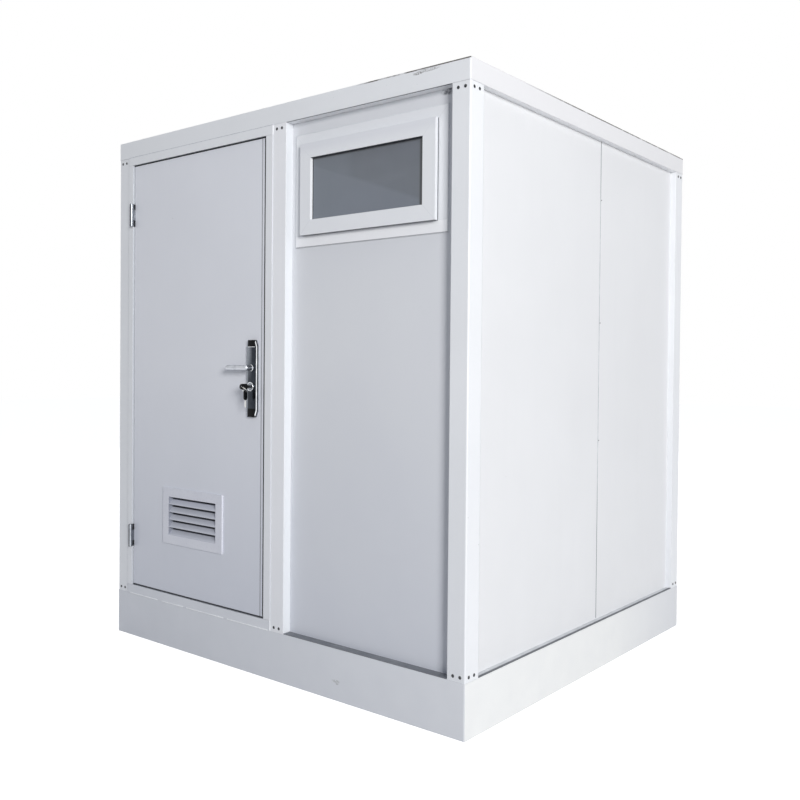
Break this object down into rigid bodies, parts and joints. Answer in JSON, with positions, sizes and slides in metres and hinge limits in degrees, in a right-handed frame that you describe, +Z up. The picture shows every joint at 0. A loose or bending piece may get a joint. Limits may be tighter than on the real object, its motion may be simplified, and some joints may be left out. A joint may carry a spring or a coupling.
{
  "type": "portable toilet cabin",
  "caption": "White portable toilet cabin: steel frame on a skirted base, recessed sandwich panels, outward opening door with a vent, and a high window.",
  "frame": {"origin": "on the ground under the middle of the frame, on the underside of the middle floor joist", "axes": "+Z up, +X to the right and +Y to the back when looking at the wall with the door and the window"},
  "size_m": [2.1, 1.867, 2.35],
  "materials": {
    "frame_paint": "powder coated steel, satin",
    "primer": "primed steel, matt",
    "floor_vinyl": "vinyl sheet on board",
    "track_grey": "grey coated steel, matt",
    "panel_paint": "coil coated steel skin, satin",
    "leaf_paint": "coil coated steel skin, satin",
    "vent_plastic": "moulded plastic, satin",
    "hinge_steel": "plain steel, bright",
    "plate_metal": "dark polished steel",
    "lever_chrome": "satin chrome",
    "key_metal": "nickel plated",
    "key_plastic": "black moulded plastic",
    "window_pvc": "white extruded plastic",
    "glass": "obscured glass"
  },
  "bodies": {
    "cabin": {"base_front": "frame_paint", "base_back": "frame_paint", "base_left": "frame_paint", "base_right": "frame_paint", "post_front_left": "frame_paint", "post_front_right": "frame_paint", "post_back_left": "frame_paint", "post_back_right": "frame_paint", "door_mullion": "frame_paint", "beam_front": "frame_paint", "beam_back": "frame_paint", "beam_left": "frame_paint", "beam_right": "frame_paint", "door_jamb_hinge": "frame_paint", "door_jamb_lock": "frame_paint", "door_head": "frame_paint", "door_sill": "frame_paint", "floor_joists": "primer", "floor_panel": "floor_vinyl", "bottom_track": "track_grey", "roof_panel": "panel_paint", "front_wall": "panel_paint", "left_wall": "panel_paint", "right_wall": "panel_paint", "back_wall": "panel_paint", "hinge_fixed_knuckles": "hinge_steel", "strike_plate": "hinge_steel", "window_frame": "window_pvc", "window_sash": "window_pvc", "window_glass": "glass"},
    "door": {"door_leaf": "leaf_paint", "vent_frame": "vent_plastic", "vent_slats": "vent_plastic", "vent_inner_frame": "vent_plastic", "hinge_leaf_knuckles": "hinge_steel", "outer_plate": "plate_metal", "inner_plate": "plate_metal", "lock_cylinder": "lever_chrome", "lock_faceplate": "hinge_steel"},
    "lever": {"outer_lever": "lever_chrome", "inner_lever": "lever_chrome"},
    "key": {"key_plug": "key_metal", "key_head": "key_plastic", "key_ring": "key_metal", "spare_key_head": "key_plastic", "spare_key_blade": "key_metal"}
  },
  "joints": [
    {"name": "door_hinge", "type": "hinge", "parent": "cabin", "child": "door", "pos_m": [-0.93225, -0.9125, 1.238], "axis": [0, 0, -1], "range_deg": [0, 165]},
    {"name": "lever_turn", "type": "hinge", "parent": "door", "child": "lever", "pos_m": [-0.0685, -0.8725, 1.281], "axis": [0, -1, 0], "range_deg": [0, 45], "stiffness_Nm_per_rad": 2, "springref_deg": -11.46},
    {"name": "key_turn", "type": "hinge", "parent": "door", "child": "key", "pos_m": [-0.0685, -0.913, 1.203], "axis": [0, -1, 0], "range_deg": [0, 90]}
  ]
}
